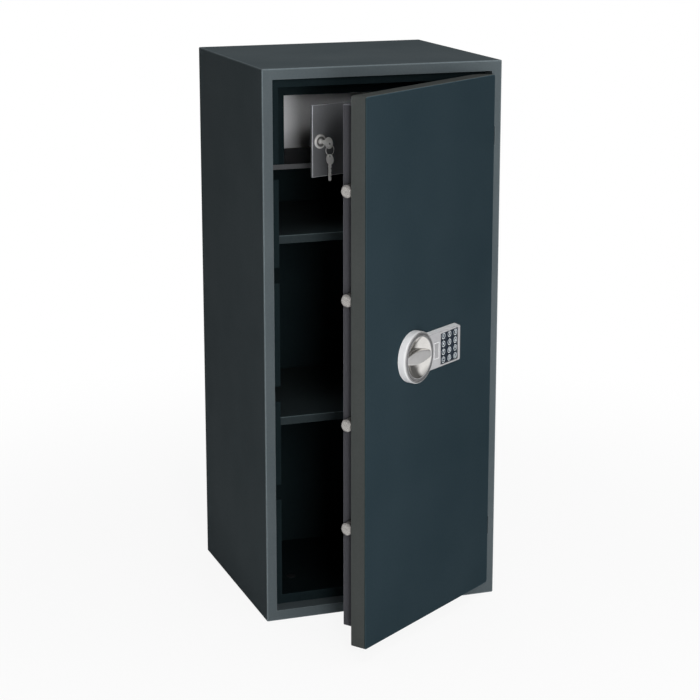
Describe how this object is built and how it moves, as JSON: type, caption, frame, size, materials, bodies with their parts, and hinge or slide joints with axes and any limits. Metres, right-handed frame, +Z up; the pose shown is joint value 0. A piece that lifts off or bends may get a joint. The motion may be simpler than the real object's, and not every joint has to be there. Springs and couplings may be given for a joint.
{
  "type": "furniture safe",
  "caption": "Tall steel furniture safe with a hinged slab door, side bolts, rotary knob and keypad, slotted shelves and a lockable inner compartment.",
  "frame": {"origin": "centre of the cabinet's base, on the floor", "axes": "+X to the right seen from the front, -Y the front, +Z up; the door stands 35 degrees open and the inner door 20 degrees"},
  "size_m": [0.445, 0.6353, 1],
  "materials": {
    "cabinetPaint": "fine textured powder coat, anthracite",
    "framePaint": "fine textured powder coat, blue grey",
    "doorPaint": "fine textured powder coat, dark blue grey",
    "casePaint": "fine textured powder coat, dark grey",
    "innerPaint": "fine textured powder coat, mid grey",
    "satinNickel": "satin nickel plate on die-cast zinc",
    "brightNickel": "nickel-plated, polished",
    "steel": "plain bright steel",
    "zincSteel": "zinc-plated, dull",
    "blackPlastic": "black, lightly grained",
    "fieldPlastic": "dark blue black, semi-gloss",
    "keyPlastic": "dark blue grey, satin"
  },
  "bodies": {
    "cabinet": {"side_panel_left": "cabinetPaint", "side_panel_right": "cabinetPaint", "top_panel": "cabinetPaint", "bottom_panel": "cabinetPaint", "back_panel": "cabinetPaint", "frame_member_lock_side": "framePaint", "frame_member_hinge_side": "framePaint", "frame_member_top": "framePaint", "frame_member_bottom": "framePaint", "hinge_bracket_lower": "framePaint", "hinge_bracket_upper": "framePaint", "shelf_frame_left": "innerPaint", "shelf_frame_right": "innerPaint", "shelf_lower": "innerPaint", "shelf_upper": "innerPaint", "locker_floor": "innerPaint", "locker_front_panel": "innerPaint", "locker_hinge": "steel"},
    "door": {"hinge_arm_lower": "steel", "hinge_arm_upper": "steel", "door_slab": "doorPaint", "door_back_plate": "casePaint", "slab_stiffener": "zincSteel", "lock_case": "casePaint", "interlock_rail": "steel", "lock_housing": "satinNickel", "lock_body": "blackPlastic", "battery_tray": "blackPlastic", "battery_lid": "blackPlastic", "keypad_body": "satinNickel", "keypad_panel": "fieldPlastic"},
    "knob": {"knob_disc": "satinNickel", "knob_spindle": "steel", "cam_disc": "zincSteel"},
    "boltwork": {"bolt_bar": "zincSteel", "bolt_1": "brightNickel", "bolt_2": "brightNickel", "bolt_3": "brightNickel", "bolt_4": "brightNickel"},
    "plunger": {"blocking_plunger": "steel"},
    "key_1_body": {"key_1": "keyPlastic"},
    "key_2_body": {"key_2": "keyPlastic"},
    "key_3_body": {"key_3": "keyPlastic"},
    "key_4_body": {"key_4": "keyPlastic"},
    "key_5_body": {"key_5": "keyPlastic"},
    "key_6_body": {"key_6": "keyPlastic"},
    "key_7_body": {"key_7": "keyPlastic"},
    "key_8_body": {"key_8": "keyPlastic"},
    "key_9_body": {"key_9": "keyPlastic"},
    "key_clear_body": {"key_clear": "keyPlastic"},
    "key_0_body": {"key_0": "keyPlastic"},
    "key_enter_body": {"key_enter": "keyPlastic"},
    "inner_door": {"locker_door": "innerPaint", "locker_lock_cylinder": "brightNickel", "locker_lock_nut": "zincSteel"},
    "lock_plug": {"locker_lock_plug": "brightNickel", "locker_lock_cam": "zincSteel"},
    "key_in_lock": {"locker_key": "brightNickel"},
    "ring": {"key_ring": "steel"},
    "spare": {"spare_key": "brightNickel"}
  },
  "joints": [
    {"name": "door_hinge", "type": "hinge", "parent": "cabinet", "child": "door", "pos_m": [0.2135, -0.191, 0.5], "axis": [0, 0, 1], "range_deg": [-35, 55]},
    {"name": "knob_turn", "type": "hinge", "parent": "door", "child": "knob", "pos_m": [-0.00497, -0.35496, 0.516], "axis": [-0.5736, 0.8192, 0], "range_deg": [0, 90]},
    {"name": "bolt_throw", "type": "slide", "parent": "door", "child": "boltwork", "axis": [-0.8192, -0.5736, 0], "range_m": [0, 0.017]},
    {"name": "plunger_travel", "type": "slide", "parent": "door", "child": "plunger", "axis": [-0.8192, -0.5736, 0], "range_m": [0, 0.006]},
    {"name": "key_1_press", "type": "slide", "parent": "door", "child": "key_1_body", "axis": [-0.5736, 0.8192, 0], "range_m": [0, 0.0008], "stiffness_N_per_m": 600, "springref_m": -0.0006},
    {"name": "key_2_press", "type": "slide", "parent": "door", "child": "key_2_body", "axis": [-0.5736, 0.8192, 0], "range_m": [0, 0.0008], "stiffness_N_per_m": 600, "springref_m": -0.0006},
    {"name": "key_3_press", "type": "slide", "parent": "door", "child": "key_3_body", "axis": [-0.5736, 0.8192, 0], "range_m": [0, 0.0008], "stiffness_N_per_m": 600, "springref_m": -0.0006},
    {"name": "key_4_press", "type": "slide", "parent": "door", "child": "key_4_body", "axis": [-0.5736, 0.8192, 0], "range_m": [0, 0.0008], "stiffness_N_per_m": 600, "springref_m": -0.0006},
    {"name": "key_5_press", "type": "slide", "parent": "door", "child": "key_5_body", "axis": [-0.5736, 0.8192, 0], "range_m": [0, 0.0008], "stiffness_N_per_m": 600, "springref_m": -0.0006},
    {"name": "key_6_press", "type": "slide", "parent": "door", "child": "key_6_body", "axis": [-0.5736, 0.8192, 0], "range_m": [0, 0.0008], "stiffness_N_per_m": 600, "springref_m": -0.0006},
    {"name": "key_7_press", "type": "slide", "parent": "door", "child": "key_7_body", "axis": [-0.5736, 0.8192, 0], "range_m": [0, 0.0008], "stiffness_N_per_m": 600, "springref_m": -0.0006},
    {"name": "key_8_press", "type": "slide", "parent": "door", "child": "key_8_body", "axis": [-0.5736, 0.8192, 0], "range_m": [0, 0.0008], "stiffness_N_per_m": 600, "springref_m": -0.0006},
    {"name": "key_9_press", "type": "slide", "parent": "door", "child": "key_9_body", "axis": [-0.5736, 0.8192, 0], "range_m": [0, 0.0008], "stiffness_N_per_m": 600, "springref_m": -0.0006},
    {"name": "key_clear_press", "type": "slide", "parent": "door", "child": "key_clear_body", "axis": [-0.5736, 0.8192, 0], "range_m": [0, 0.0008], "stiffness_N_per_m": 600, "springref_m": -0.0006},
    {"name": "key_0_press", "type": "slide", "parent": "door", "child": "key_0_body", "axis": [-0.5736, 0.8192, 0], "range_m": [0, 0.0008], "stiffness_N_per_m": 600, "springref_m": -0.0006},
    {"name": "key_enter_press", "type": "slide", "parent": "door", "child": "key_enter_body", "axis": [-0.5736, 0.8192, 0], "range_m": [0, 0.0008], "stiffness_N_per_m": 600, "springref_m": -0.0006},
    {"name": "inner_door_hinge", "type": "hinge", "parent": "cabinet", "child": "inner_door", "pos_m": [0.194, 0.0035, 0.857], "axis": [0, 0, 1], "range_deg": [-20, 30]},
    {"name": "plug_turn", "type": "hinge", "parent": "inner_door", "child": "lock_plug", "pos_m": [-0.08255, -0.10067, 0.85575], "axis": [0.342, -0.9397, 0], "range_deg": [0, 90]},
    {"name": "key_withdraw", "type": "slide", "parent": "lock_plug", "child": "key_in_lock", "axis": [0.342, -0.9397, 0], "range_m": [0, 0.02]},
    {"name": "ring_swing", "type": "hinge", "parent": "key_in_lock", "child": "ring", "pos_m": [-0.074, -0.12416, 0.8527], "axis": [0.9397, 0.342, 0], "range_deg": [-15, 15]},
    {"name": "spare_key_swing", "type": "hinge", "parent": "ring", "child": "spare", "pos_m": [-0.074, -0.12416, 0.8343], "axis": [0.9397, 0.342, 0], "range_deg": [-20, 20]}
  ],
  "couplings": [
    {"joint": "knob_turn", "follows": "bolt_throw", "rad_per_m": 92.399}
  ]
}
